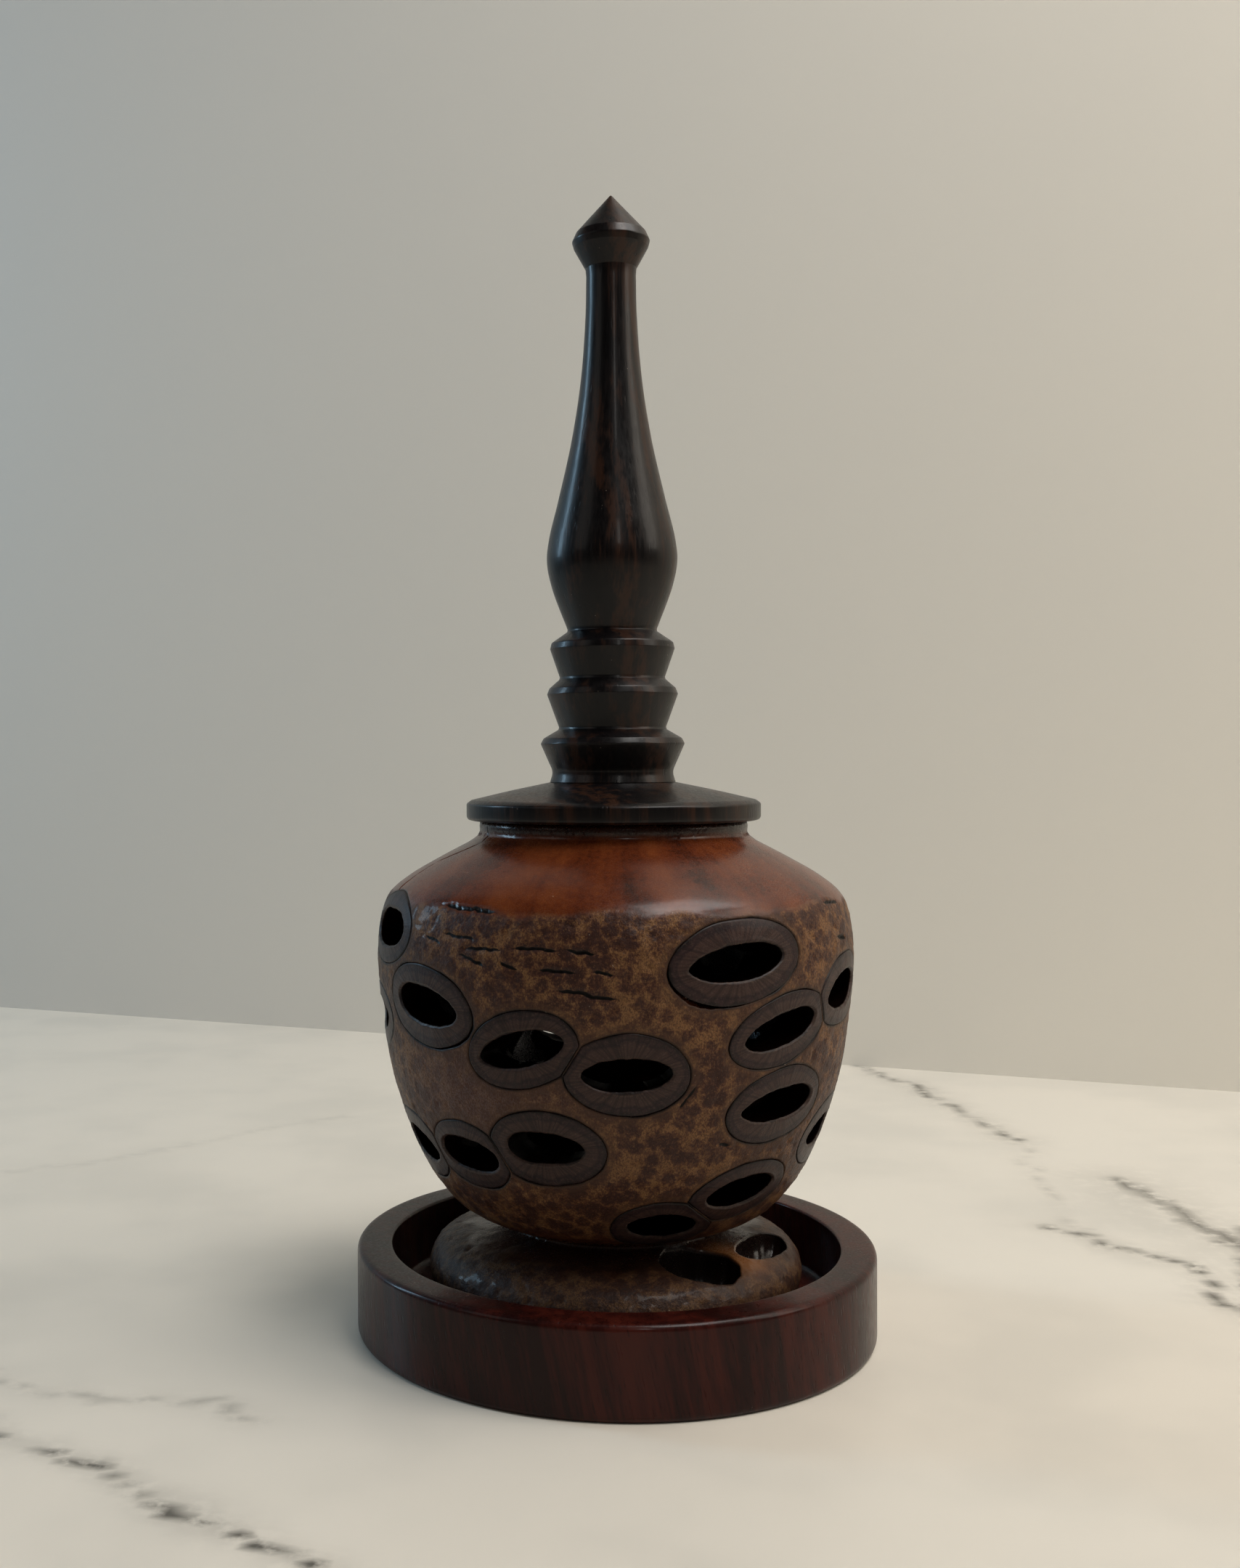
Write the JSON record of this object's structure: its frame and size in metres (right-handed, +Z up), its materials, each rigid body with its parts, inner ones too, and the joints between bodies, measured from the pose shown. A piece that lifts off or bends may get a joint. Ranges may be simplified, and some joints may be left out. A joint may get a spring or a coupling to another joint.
{
  "type": "lidded seed pod pot",
  "caption": "Small lidded pot turned from a banksia seed cone with open follicle slots, a tall slim finial lid and a low turned wood dish that it stands in.",
  "frame": {"origin": "centre of the dish's underside, on the surface that the object stands on", "axes": "+Z up along the common turning axis; the front, with the dark foot pocket towards its right, faces -Y"},
  "size_m": [0.0844, 0.0844, 0.1846],
  "materials": {
    "dish_wood": "satin oiled dark red-brown timber",
    "pod_bracts": "velvety mottled bracts, polished red-brown wood on the shoulder",
    "follicle_wood": "satin grey-brown end grain",
    "dark_lid_wood": "polished near-black timber"
  },
  "bodies": {
    "dish": {"dish": "dish_wood"},
    "pot": {"pot_body": "pod_bracts", "follicle_01": "follicle_wood", "follicle_02": "follicle_wood", "follicle_03": "follicle_wood", "follicle_04": "follicle_wood", "follicle_05": "follicle_wood", "follicle_06": "follicle_wood", "follicle_07": "follicle_wood", "follicle_08": "follicle_wood", "follicle_09": "follicle_wood", "follicle_10": "follicle_wood", "follicle_11": "follicle_wood", "follicle_12": "follicle_wood", "follicle_13": "follicle_wood", "follicle_14": "follicle_wood", "follicle_15": "follicle_wood", "follicle_16": "follicle_wood", "follicle_17": "follicle_wood", "follicle_18": "follicle_wood", "follicle_19": "follicle_wood", "follicle_20": "follicle_wood", "follicle_21": "follicle_wood", "follicle_22": "follicle_wood", "follicle_23": "follicle_wood", "follicle_24": "follicle_wood", "follicle_25": "follicle_wood", "follicle_26": "follicle_wood", "follicle_27": "follicle_wood", "follicle_28": "follicle_wood", "follicle_29": "follicle_wood", "follicle_30": "follicle_wood"},
    "lid": {"lid_disc": "dark_lid_wood", "finial": "dark_lid_wood"}
  },
  "joints": [
    {"name": "pot_lift", "type": "slide", "parent": "dish", "child": "pot", "axis": [0, 0, 1], "range_m": [0, 0.025]},
    {"name": "lid_lift", "type": "slide", "parent": "pot", "child": "lid", "axis": [0, 0, 1], "range_m": [0, 0.035]}
  ]
}
